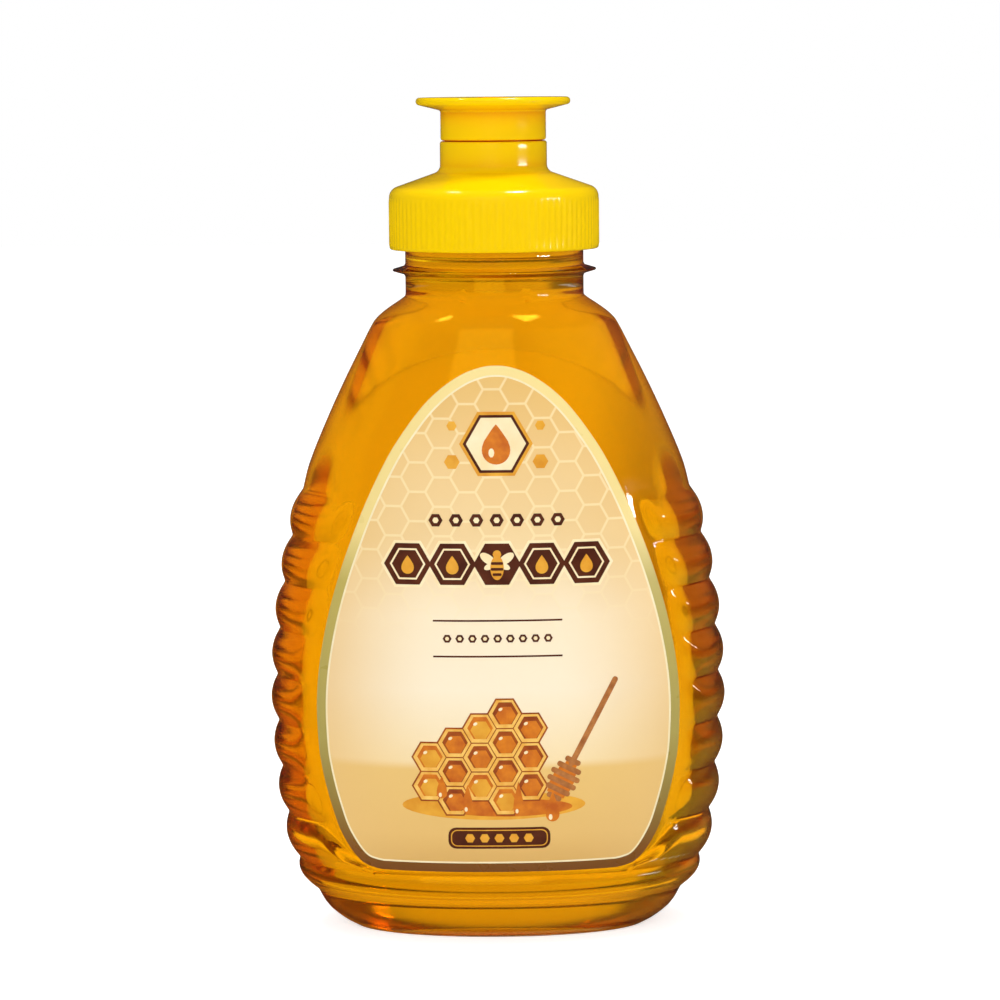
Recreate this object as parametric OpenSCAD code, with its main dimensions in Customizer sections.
// Honey squeeze bottle with a screw closure and a push-pull spout.
// The origin is at the middle of the base, +Z is up and the front label faces -Y.
// The body is one thin blown shell. Its lower part has ribs that run round the
// sides and stop at two smooth egg-shaped panels, which carry the labels.

/* [Bottle body] */
// Width over the ribs where the body is widest
body_w = 89; // [84:0.5:94]
// Depth across the two label panels
body_d = 50.4; // [46:0.2:56]
// Height of the body up to the foot of the neck
body_h = 123.3; // [116:0.1:134]
// Thickness of the blown wall
wall = 0.7; // [0.5:0.05:0.9]
// How square the oval is: 2 is an ellipse
oval_power = 2.1; // [2:0.05:2.5]
// Width of the flat ring that the bottle stands on
foot_w = 2.6; // [1.5:0.1:4]
// How far the middle of the base is pushed up
push_up = 3.4; // [2:0.1:5]

/* [Ribs] */
// How far a rib stands out from its grooves
rib_h = 1.3; // [0.5:0.1:1.8]
// Height from one groove to the next
rib_pitch = 9.1; // [7.5:0.1:9.6]
// Number of full ribs
rib_count = 8; // [4:1:8]
// Height of the lowest full groove
rib_start = 13.4; // [12:0.1:15]
// Height of the short rib under the lowest full groove
heel_rib = 6.2; // [4:0.1:8]

/* [Neck finish] */
// Outside diameter of the neck
neck_d = 34.6; // [34:0.1:35.2]
// Bore of the neck
bore_d = 31.2; // [28:0.1:31.6]
// Height of the neck from its foot to its sealing land
neck_h = 19.1; // [18:0.1:21]
// Diameter of the support ring
ring_d = 39.5; // [37:0.1:41]
// Thickness of the support ring at its root
ring_t = 1.6; // [1:0.1:2.2]
// Height of the support ring above the foot of the neck
ring_h = 5.3; // [4:0.1:6.4]
// Diameter over the neck thread
thread_d = 37.4; // [36.6:0.1:37.6]
// Pitch of the thread, six turns to the inch
thread_pitch = 4.233; // [4:0.001:4.5]
// Turns of thread on the neck
neck_turns = 1.25; // [0.75:0.05:1.25]

/* [Closure] */
// Diameter over the grip ribs of the skirt
closure_d = 40.9; // [40.4:0.1:44]
// Height of the ribbed skirt
skirt_h = 10; // [9.6:0.1:10.6]
// Wall of the moulded closure
closure_wall = 1.3; // [1.1:0.05:1.5]
// Number of grip ribs
grip_count = 90; // [60:1:110]
// Depth of a grip rib
grip_h = 0.3; // [0.15:0.05:0.4]
// Rise of the sloping top from the skirt to the turret
slope_h = 5.8; // [4.5:0.1:7]
// Diameter of the turret
turret_d = 20.7; // [20:0.1:24]
// Height of the turret above the sloping top
turret_h = 5; // [4:0.1:7]
// Turns of thread inside the skirt
closure_turns = 1.1; // [0.6:0.05:1.1]
// Thickness of the sealing liner
liner_t = 0.9; // [0.6:0.05:1.2]

/* [Spout] */
// Diameter of the finger flange
flange_d = 29.9; // [26:0.1:34]
// Thickness of the finger flange at the spout's tube
flange_t = 2.4; // [1.8:0.1:3]
// Height of the closed spout above the turret
spout_h = 8.4; // [8:0.1:10]
// Wall of the spout's tube
spout_wall = 1.4; // [1.1:0.05:1.6]
// Bore of the pouring hole
hole_d = 5.2; // [4:0.1:6]
// Travel of the spout from closed to open
spout_travel = 4.2; // [3:0.1:4.2]

/* [Labels] */
// Width of a label
label_w = 69.8; // [60:0.2:72]
// Height of a label
label_h = 96.9; // [88:0.1:98]
// Height of a label's lower edge above the floor
label_z = 14.4; // [13.8:0.1:17]
// Thickness of the label stock
label_t = 0.12; // [0.08:0.01:0.3]
// Height of the honey in the neck, above the foot of the neck
fill_h = 12.6; // [8:0.1:14]

/* [Hidden] */

// Colours of the pieces
AMBER = [0.92, 0.62, 0.08, 0.55];
HONEY = [0.85, 0.50, 0.03];
PAPER = [0.96, 0.84, 0.55];
YELLOW = [0.99, 0.84, 0.05];
LINER = [0.93, 0.93, 0.90];

// Clearances and overruns shared by the pieces
overrun = 1;
sink = 0.3;
fill_gap = 0.15;
label_gap = 0.15;
seat_gap = 0.05;
slide_gap = 0.1;
stop_gap = 0.1;
liner_lip = 0.3;

// Steps in a quarter of a body ring: on the ribbed side, at the edge of the panel
// and on the panel. Then the steps in one turn of a thread.
side_steps = 4;
fade_steps = 1;
panel_steps = 7;
quarter_steps = side_steps + fade_steps + panel_steps;
ring_points = 4 * quarter_steps;
turn_steps = 40;
$fn = 96;

// The top of the closure falls below the seat of its liner by this much at the skirt
slope_drop = 0.8;

// Heights that several pieces share
neck_top = body_h + neck_h;
ring_z = body_h + ring_h;
liner_z = neck_top + seat_gap;
seat_z = liner_z + liner_t + seat_gap;
slope_foot = seat_z - slope_drop;
skirt_z = slope_foot - skirt_h;
turret_z = slope_foot + slope_h;
spout_z = turret_z + turret_h;
top_z = spout_z + spout_h;

// Radii that several pieces share
neck_r = neck_d / 2;
bore_r = bore_d / 2;
thread_r = thread_d / 2;
// Play between the crests of the thread and the wall that faces them
thread_play = 0.35;
skirt_r = closure_d / 2;
skirt_bore_r = thread_r + thread_play;
closure_thread_r = neck_r + thread_play;
turret_r = turret_d / 2;

// Body outline without its ribs, as shares of the body's height
// and of its half width, up to the corner of the shoulder
width_shares = [
    [0, 0.66], [0.011, 0.717], [0.031, 0.785], [0.058, 0.831], [0.109, 0.91],
    [0.19, 0.961], [0.26, 0.984], [0.35, 0.999], [0.405, 1], [0.48, 0.986],
    [0.55, 0.962], [0.625, 0.924], [0.7, 0.873], [0.74, 0.8425], [0.805, 0.766],
    [0.868, 0.683], [0.931, 0.5926], [0.95, 0.565], [0.963, 0.544]];
depth_shares = [
    [0, 0.615], [0.011, 0.675], [0.031, 0.755], [0.058, 0.825], [0.109, 0.905],
    [0.19, 0.963], [0.3, 0.993], [0.38, 1], [0.47, 0.988], [0.56, 0.958],
    [0.65, 0.918], [0.74, 0.875], [0.83, 0.838], [0.92, 0.803], [0.95, 0.788],
    [0.963, 0.775]];
// Share of the body's height where the shoulder turns in to the neck
corner_share = 0.963;
// Half angle of the arc that turns the shoulder in
corner_angle = 62;
// Thickness of the step at the foot of the neck
root_step = 0.3;

// Outline of a label, as shares of its height and of its half width
label_shares = [
    [0, 0.64], [0.003, 0.69], [0.01, 0.745], [0.026, 0.794], [0.05, 0.84],
    [0.08, 0.883], [0.12, 0.92], [0.16, 0.951], [0.2, 0.975], [0.243, 0.992],
    [0.325, 1], [0.4, 0.985],
    [0.48, 0.946], [0.555, 0.893], [0.635, 0.82], [0.728, 0.718], [0.814, 0.602],
    [0.87, 0.505], [0.92, 0.4], [0.955, 0.3], [0.98, 0.2], [0.993, 0.12], [1, 0.04]];
// Smooth margin round a label, and the width over which the ribs fade out
panel_margin = 1.2;
rib_fade = 3;
label_columns = 20;
// Least angle from the side of the oval to the edge of a panel and to its ribs,
// and the least angle between those two columns of points
least_panel_angle = 25;
least_side_angle = 20;
least_fade_angle = 5;

// A smooth curve through the points of a table
function piece(x, t, i = 0) = i >= len(t) - 2 || x < t[i + 1][0] ? i : piece(x, t, i + 1);
function tilt(t, i) =
    let (a = max(i - 1, 0), b = min(i + 1, len(t) - 1))
    (t[b][1] - t[a][1]) / (t[b][0] - t[a][0]);
function smooth(x, t) =
    let (i = piece(x, t), w = t[i + 1][0] - t[i][0], u = (x - t[i][0]) / w)
    t[i][1] * (1 - u) * (1 - u) * (1 + 2 * u) + t[i + 1][1] * u * u * (3 - 2 * u)
    + w * (tilt(t, i) * u * (1 - u) * (1 - u) - tilt(t, i + 1) * u * u * (1 - u));

// Half width and half depth of the body at a height, without ribs
corner_z = body_h * corner_share;
rim_r = neck_r + root_step;
function turn_in(z) = sin((body_h - z) / (body_h - corner_z) * corner_angle) / sin(corner_angle);
function half_w(z) = z <= corner_z
    ? smooth(z / body_h, width_shares) * (body_w / 2 - rib_h)
    : rim_r + (half_w(corner_z) - rim_r) * turn_in(z);
function half_d(z) = z <= corner_z
    ? smooth(z / body_h, depth_shares) * body_d / 2
    : rim_r + (half_d(corner_z) - rim_r) * turn_in(z);

// The oval grows rounder up the shoulder, until it is a circle at the neck
rib_top = rib_start + rib_count * rib_pitch;
function power(z) = z <= rib_top ? oval_power
    : 2 + (oval_power - 2) * (body_h - z) / (body_h - rib_top);

// How far the surface stands out in a rib: arcs that meet in sharp grooves
function arc(u) = 4 * u * (1 - u);
function rib(z) =
    z >= rib_start && z <= rib_top
        ? rib_h * arc((z - rib_start) / rib_pitch - floor((z - rib_start) / rib_pitch))
    : z >= rib_start - heel_rib && z < rib_start
        ? rib_h * arc((rib_start - z) / heel_rib) : 0;

// Share of the rib that is left beside a panel: none on the panel itself
label_end = label_z + label_h;
function label_half(z) = lookup((z - label_z) / label_h, label_shares) * label_w / 2;
function beside_panel(x, z) = z < label_z - panel_margin / 2 || z > label_end + panel_margin
    ? 1
    : min(1, max(0, (abs(x) - label_half(z) - panel_margin) / rib_fade));

// Angle on the oval of a point at a distance x from the middle
function oval_angle(x, z) = acos(pow(min(1, x / half_w(z)), power(z) / 2));

// Angles of a ring's points in one quarter: two columns of points follow
// the edge of the panel, so that the ribs end in a clean line
function panel_angle(z) = max(least_panel_angle, oval_angle(label_half(z) + panel_margin, z));
function side_angle(z) = min(panel_angle(z) - least_fade_angle,
    max(least_side_angle, oval_angle(label_half(z) + panel_margin + rib_fade, z)));
function quarter_angle(i, z) = i <= side_steps
    ? side_angle(z) * i / side_steps
    : panel_angle(z) + (90 - panel_angle(z)) * (i - side_steps - fade_steps) / panel_steps;
function ring_angle(k, z) =
    let (q = floor(k / quarter_steps), i = k % quarter_steps)
    q % 2 == 0 ? 90 * q + quarter_angle(i, z) : 90 * (q + 1) - quarter_angle(quarter_steps - i, z);

// One ring of the body, drawn in by an inset
function side(v) = v < 0 ? -1 : 1;
function bent(v, p) = side(v) * pow(abs(v), 2 / p);
function ring(z, inset, at_z) = [for (k = [0 : ring_points - 1])
    let (a = ring_angle(k, z), c = bent(cos(a), power(z)), s = bent(sin(a), power(z)),
         out = rib(z) * beside_panel(half_w(z) * c, z) - inset)
    [(half_w(z) + out) * c, (half_d(z) + out) * s, at_z]];

// Heights of the rings: shoulder, ribs, short rib, heel
shoulder_shares = [1, 0.984, 0.962, 0.925, 0.877, 0.817, 0.7, 0.535, 0.37, 0.2];
heel_shares = [0.75, 0.5, 0.25, 0.12, 0.04, 0];
function shoulder_heights() =
    [for (s = shoulder_shares) rib_top + s * (body_h - rib_top)];
function rib_heights(steps) = [for (i = [rib_count * steps : -1 : 0])
    rib_start + i * rib_pitch / steps];
function heel_rib_heights(steps) = [for (i = [steps - 1 : -1 : 0])
    rib_start - heel_rib + i * heel_rib / steps];
function heel_heights() = [for (s = heel_shares) s * (rib_start - heel_rib)];
function all_heights(steps) =
    concat(shoulder_heights(), rib_heights(steps), heel_rib_heights(steps), heel_heights());

// The base inside the standing ring: a flat ring, then a shallow dome
dome_shares = [[1, 0], [0.9, 0.45], [0.65, 0.8], [0.35, 0.96]];
function dome_ring(s, z) = [for (p = ring(0, foot_w, z)) [p[0] * s, p[1] * s, z]];
function dome_rings(lift) = [for (d = dome_shares) dome_ring(d[0], lift + push_up * d[1])];

// Inner wall: one wall's thickness in, and thicker towards the neck
inner_steps = 2;
inner_floor = wall;
throat_z = body_h - 3 * sink;
function inner_inset(z) = z <= corner_z ? wall
    : wall + (rim_r - bore_r + sink - wall) * (z - corner_z) / (body_h - corner_z);
function inner_heights() = [for (z = all_heights(inner_steps)) if (z > inner_floor + wall) z];
function inner_rings(gap) = concat(
    [for (z = inner_heights()) if (z < throat_z || gap == 0) ring(z, inner_inset(z) + gap, z)],
    [ring(inner_floor, wall + foot_w / 2 + gap, inner_floor + gap)],
    [for (d = dome_shares) if (d[0] < 1) dome_ring(d[0], inner_floor + gap + push_up * d[1])]);

// A closed skin over a list of rings, with a fan at each open end. Each four-sided
// patch is two triangles, and cross says along which diagonal they meet.
function skin_faces(rings, n, cross) = concat(
    [for (i = [0 : rings - 2]) for (k = [0 : n - 1])
        let (a = i * n + k, b = i * n + (k + 1) % n)
        each cross ? [[a, b, a + n], [b, b + n, a + n]] : [[a, b, b + n], [a, b + n, a + n]]],
    [for (k = [0 : n - 1]) [rings * n, (k + 1) % n, k]],
    [for (k = [0 : n - 1]) [rings * n + 1, (rings - 1) * n + k, (rings - 1) * n + (k + 1) % n]]);
module skin(rings, first, last, cross = false) {
    points = [for (r = rings) for (p = r) p];
    polyhedron(concat(points, [first, last]), skin_faces(len(rings), len(rings[0]), cross),
               convexity = 10);
}

// The blown shell: inner wall from the base up, then the outer wall down to the base
function reversed(v) = [for (i = [len(v) - 1 : -1 : 0]) v[i]];
function outer_rings() = concat([for (z = all_heights(4)) ring(z, 0, z)], dome_rings(0));
module shell() {
    skin(concat(reversed(inner_rings(0)), outer_rings()),
         [0, 0, inner_floor + push_up], [0, 0, push_up]);
}

// A helical thread: its four corners follow the helix and run out to the root at both ends
thread_root_w = 2.2;
thread_crest_w = 0.9;
run_out_turns = 0.06;
thread_end_share = 0.1;
function thread_fade(t, turns) = min(1, t / run_out_turns, (turns - t) / run_out_turns);
function thread_corners(a, z, root, crest, fade) =
    let (reach = root + (crest - root) * fade)
    [for (q = [[root, -thread_root_w], [reach, -thread_crest_w],
               [reach, thread_crest_w], [root, thread_root_w]])
        [q[0] * cos(a), q[0] * sin(a), z + q[1] / 2]];
module thread(root, crest, start_turn, turns, z) {
    steps = ceil(turns * turn_steps);
    rings = [for (i = [0 : steps])
        let (t = turns * i / steps)
        thread_corners(360 * (start_turn + t), z + thread_pitch * (start_turn + t), root, crest,
                       max(thread_end_share, thread_fade(t, turns)))];
    flip = crest > root ? 1 : -1;
    first = (rings[0][0] + rings[0][3]) / 2;
    last = (rings[steps][0] + rings[steps][3]) / 2;
    points = [for (r = rings) for (p = (flip > 0 ? r : reversed(r))) p];
    polyhedron(points, thread_faces(steps + 1), convexity = 4);
}
function thread_faces(rings) = concat(
    [for (i = [0 : rings - 2]) for (k = [0 : 3])
        let (a = i * 4 + k, b = i * 4 + (k + 1) % 4) each [[a, b, b + 4], [a, b + 4, a + 4]]],
    [[3, 2, 1, 0], [for (k = [0 : 3]) (rings - 1) * 4 + k]]);

// Middle of the neck thread at its start, measured down from the sealing land
thread_drop = 7.5;
thread_z = neck_top - thread_drop;
// How deep a thread's root sits in the wall that carries it
thread_bite = 0.5;
// Turn at which the thread in the skirt starts
closure_start = 0.25;

// Neck tube with its support ring, thinned towards the edge, and a rounded land
land_round = 0.4;
ring_edge = 0.4;
function neck_outline() = [
    [bore_r - sink, body_h - sink], [neck_r, body_h - sink], [neck_r, ring_z - ring_t / 2],
    [ring_d / 2, ring_z - ring_edge / 2], [ring_d / 2, ring_z + ring_edge / 2],
    [neck_r, ring_z + ring_t / 2], [neck_r, neck_top - land_round],
    [neck_r - land_round, neck_top], [bore_r - sink, neck_top]];

module bottle() {
    color(AMBER) difference() {
        union() {
            shell();
            rotate_extrude() polygon(neck_outline());
            thread(neck_r - thread_bite, thread_r, 0, neck_turns, thread_z);
        }
        translate([0, 0, corner_z]) cylinder(r = bore_r, h = neck_top - corner_z + overrun);
    }
}

// The honey fills the body and stands in the neck
honey_r = bore_r - fill_gap;
honey_z = body_h + fill_h;
function circle_ring(r, z) = [for (k = [0 : ring_points - 1])
    let (a = ring_angle(k, body_h)) [r * cos(a), r * sin(a), z]];
module honey() {
    rings = concat([circle_ring(honey_r, honey_z), circle_ring(honey_r, body_h - 2 * sink)],
                   inner_rings(fill_gap));
    color(HONEY) skin(rings, [0, 0, honey_z], [0, 0, inner_floor + fill_gap + push_up], true);
}

// A label lies on the panel: two curved faces with a rim between them. Its points
// stand at even angles of the oval, so that it bends as closely as the panel does.
function label_row(s, lift) =
    let (z = label_z + s[0] * label_h, edge = oval_angle(s[1] * label_w / 2, z))
    [for (j = [0 : label_columns])
        let (a = edge + (180 - 2 * edge) * j / label_columns)
        [-half_w(z) * bent(cos(a), power(z)), -half_d(z) * bent(sin(a), power(z)) - lift, z]];
function label_points(lift) = [for (s = label_shares) each label_row(s, lift)];
function sheet_faces(rows, columns, from, flip) = [for (i = [0 : rows - 2])
    for (j = [0 : columns - 1])
        let (a = from + i * (columns + 1) + j, b = a + 1, c = b + columns + 1, d = c - 1)
        each flip ? [[a, b, c], [a, c, d]] : [[a, c, b], [a, d, c]]];
function edge_loop(rows, columns) = concat(
    [for (j = [0 : columns]) j],
    [for (i = [1 : rows - 1]) i * (columns + 1) + columns],
    [for (j = [columns - 1 : -1 : 0]) (rows - 1) * (columns + 1) + j],
    [for (i = [rows - 2 : -1 : 1]) i * (columns + 1)]);
module label() {
    rows = len(label_shares);
    count = rows * (label_columns + 1);
    loop = edge_loop(rows, label_columns);
    rim = [for (i = [0 : len(loop) - 1])
        let (a = loop[i], b = loop[(i + 1) % len(loop)])
        each [[a, b + count, b], [a, a + count, b + count]]];
    polyhedron(
        concat(label_points(label_gap), label_points(label_gap + label_t)),
        concat(sheet_faces(rows, label_columns, 0, true),
               sheet_faces(rows, label_columns, count, false), rim),
        convexity = 4);
}
module front_label() {
    color(PAPER) label();
}
module back_label() {
    color(PAPER) rotate([0, 0, 180]) label();
}

// The closure: a ribbed skirt, a rounded knee, a sloping top and a turret.
knee_r = 2.2;
slope_rise = 2.4;
turret_fillet = 1.6;
edge_round = 0.5;
// Beads that stop the open spout, and the plate that holds the pouring hole
bead_h = 0.35;
bead_w = 0.7;
plate_t = 1.8;
// Chimney inside the turret, which the spout slides on
chimney_r = turret_r - spout_wall - slide_gap * 2 - bead_h;
chimney_wall = 1.1;
turret_wall = 1;
chimney_top = top_z - plate_t - 3 * stop_gap;
spout_foot = spout_z + stop_gap;
bead_z = spout_foot + bead_w + spout_travel + stop_gap - slide_gap;
// Post in the middle of the chimney, which plugs the pouring hole
post_r = hole_d / 2 - slide_gap;
post_core_r = 1.2;
post_recess = 0.5;
post_top = top_z - post_recess;
spoke_count = 3;
spoke_w = 2;
spoke_h = 1.8;
spoke_angle = 60;

// Points of an arc between two angles
function round_points(cx, cz, r, from, to, steps) = [for (i = [0 : steps])
    let (a = from + (to - from) * i / steps) [cx + r * cos(a), cz + r * sin(a)]];

knee_angle = 68;
grip_root_r = skirt_r - grip_h;
dome_r = skirt_r - grip_h / 2;
module skirt_ribs() {
    translate([0, 0, skirt_z]) linear_extrude(skirt_h) difference() {
        polygon([for (i = [0 : 2 * grip_count - 1])
            let (a = 180 * i / grip_count, r = i % 2 == 0 ? skirt_r : grip_root_r)
            [r * cos(a), r * sin(a)]]);
        circle(r = skirt_bore_r);
    }
}
cone_top_z = slope_foot + knee_r + slope_rise;
function closure_outline() = concat(
    [[skirt_bore_r, slope_foot - edge_round], [dome_r, slope_foot - edge_round]],
    round_points(dome_r - knee_r, slope_foot, knee_r, 0, knee_angle, 6),
    [[turret_r + turret_fillet, cone_top_z]],
    [[turret_r, turret_z]],
    round_points(turret_r - edge_round, spout_z - edge_round, edge_round, 0, 90, 4),
    [[chimney_r, spout_z],
     [chimney_r, bead_z], [chimney_r + bead_h, bead_z + bead_h],
     [chimney_r + bead_h, chimney_top - bead_h / 2], [chimney_r + bead_h / 2, chimney_top],
     [chimney_r - chimney_wall, chimney_top], [chimney_r - chimney_wall, turret_z],
     [chimney_r, turret_z], [chimney_r, spout_z - closure_wall],
     [turret_r - turret_wall, spout_z - closure_wall],
     [turret_r - turret_wall, cone_top_z - closure_wall],
     [bore_r - liner_lip, seat_z], [skirt_bore_r, seat_z]]);

module closure() {
    color(YELLOW) {
        skirt_ribs();
        rotate_extrude() polygon(closure_outline());
        thread(skirt_bore_r + thread_bite, closure_thread_r, closure_start, closure_turns,
               thread_z - thread_pitch / 2);
        difference() {
            union() {
                translate([0, 0, turret_z]) cylinder(r = post_r, h = post_top - turret_z);
                for (i = [0 : spoke_count - 1]) rotate([0, 0, spoke_angle + 360 * i / spoke_count])
                    translate([0, -spoke_w / 2, turret_z])
                        cube([chimney_r - chimney_wall / 2, spoke_w, spoke_h]);
            }
            translate([0, 0, turret_z - overrun])
                cylinder(r = post_core_r, h = post_top - turret_z - closure_wall + overrun);
        }
    }
}

// Sealing ring held under the top of the closure, on the land of the neck
module closure_liner() {
    color(LINER) translate([0, 0, liner_z]) difference() {
        cylinder(r = skirt_bore_r - slide_gap, h = liner_t);
        translate([0, 0, -overrun]) cylinder(r = bore_r - liner_lip, h = liner_t + 2 * overrun);
    }
}

// The spout: a tube with an inner bead, under a flange with the pouring hole
spout_inset = 0.15;
spout_r = turret_r - spout_inset;
spout_bore_r = chimney_r + bead_h + slide_gap;
flange_edge_t = 1.5;
flange_under_angle = 80;
hole_r = hole_d / 2;
function spout_outline() = concat(
    [[chimney_r + slide_gap, spout_foot], [spout_r - edge_round, spout_foot],
     [spout_r, spout_foot + edge_round],
     [spout_r, top_z - flange_t - edge_round / 2],
     [spout_r + edge_round / 2, top_z - flange_t]],
    round_points(flange_d / 2 - flange_edge_t / 2, top_z - flange_edge_t / 2,
                 flange_edge_t / 2, -flange_under_angle, 90, 8),
    [[hole_r + edge_round, top_z], [hole_r, top_z - edge_round], [hole_r, top_z - plate_t],
     [spout_bore_r, top_z - plate_t], [spout_bore_r, spout_foot + bead_w + bead_h],
     [chimney_r + slide_gap, spout_foot + bead_w]]);
module pull_spout() {
    color(YELLOW) rotate_extrude() polygon(spout_outline());
}

bottle();
honey();
front_label();
back_label();
closure();
closure_liner();
pull_spout();
